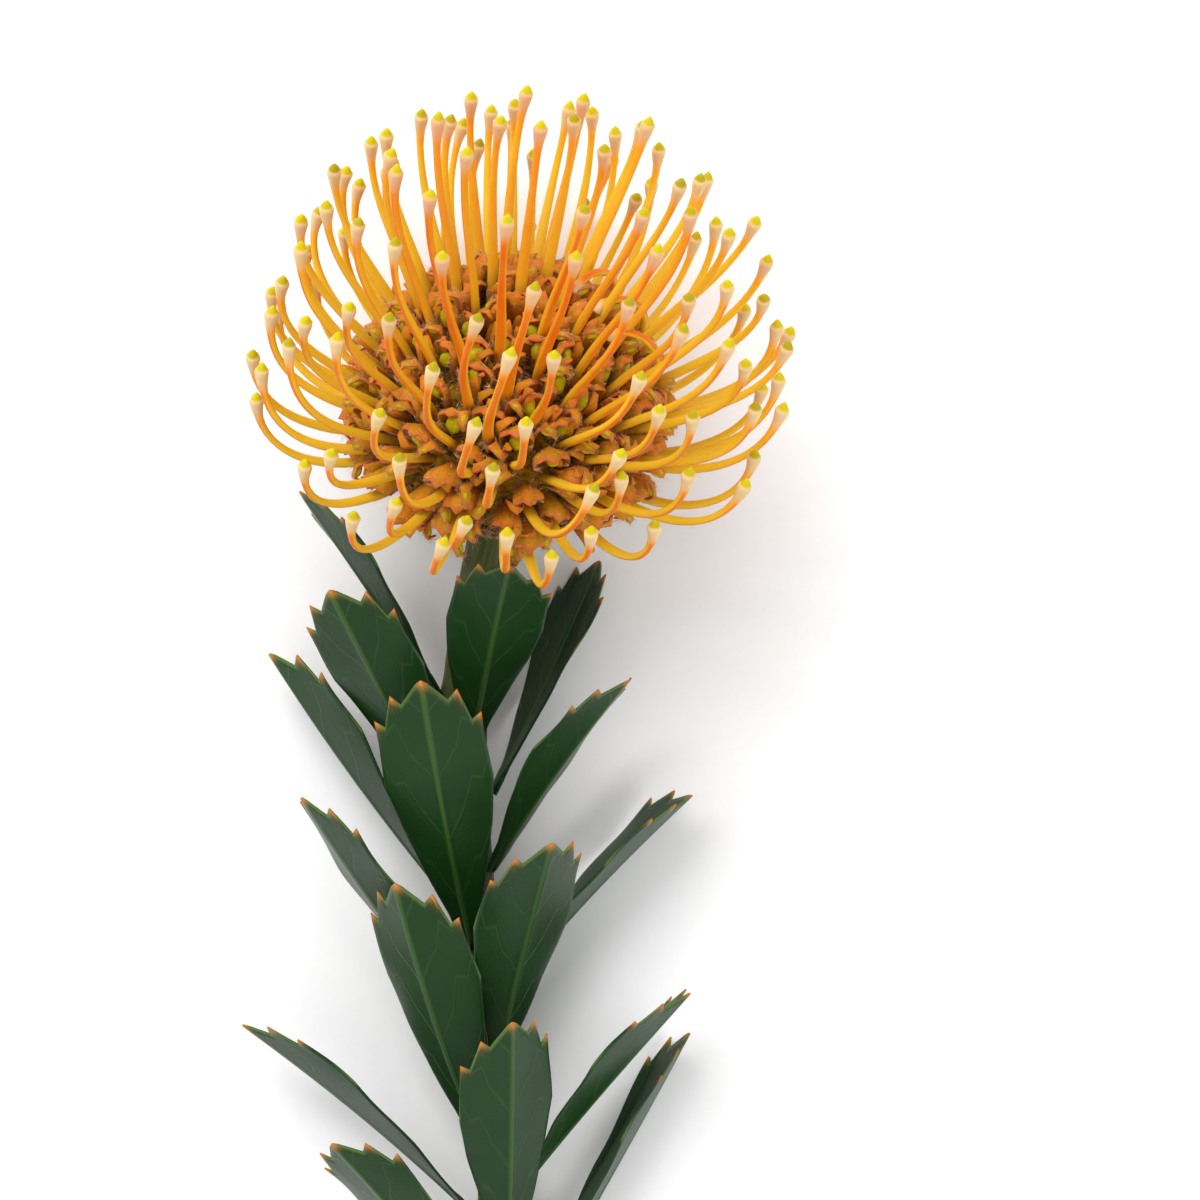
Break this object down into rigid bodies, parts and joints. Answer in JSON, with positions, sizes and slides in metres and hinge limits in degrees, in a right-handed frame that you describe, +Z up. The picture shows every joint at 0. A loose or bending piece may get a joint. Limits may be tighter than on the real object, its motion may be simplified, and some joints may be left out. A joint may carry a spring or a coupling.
{
  "type": "pincushion protea flower",
  "caption": "Orange pincushion protea flower with an open bowl of curved styles, cut with its leafy stem and laid on its back.",
  "frame": {"origin": "middle of the flower's footprint, on the surface that it lies on", "axes": "+Z up, away from the surface; +Y along the stem towards the flower head; +X across"},
  "size_m": [0.103, 0.2692, 0.0883],
  "materials": {
    "florets": "satin, waxy orange styles over hairy salmon and amber perianths",
    "bracts": "matt, densely hairy brown-green bracts",
    "stem": "matt green-brown bark with fine hairs",
    "leaves": "leathery, dull satin dark green with paler margins"
  },
  "bodies": {
    "root": {"flower_head": "florets", "involucre": "bracts", "stem": "stem", "leaf_01": "leaves", "leaf_02": "leaves", "leaf_03": "leaves", "leaf_04": "leaves", "leaf_05": "leaves", "leaf_06": "leaves", "leaf_07": "leaves", "leaf_08": "leaves", "leaf_09": "leaves", "leaf_10": "leaves", "leaf_11": "leaves", "leaf_12": "leaves", "leaf_13": "leaves", "leaf_14": "leaves", "leaf_15": "leaves", "leaf_16": "leaves"}
  },
  "joints": []
}
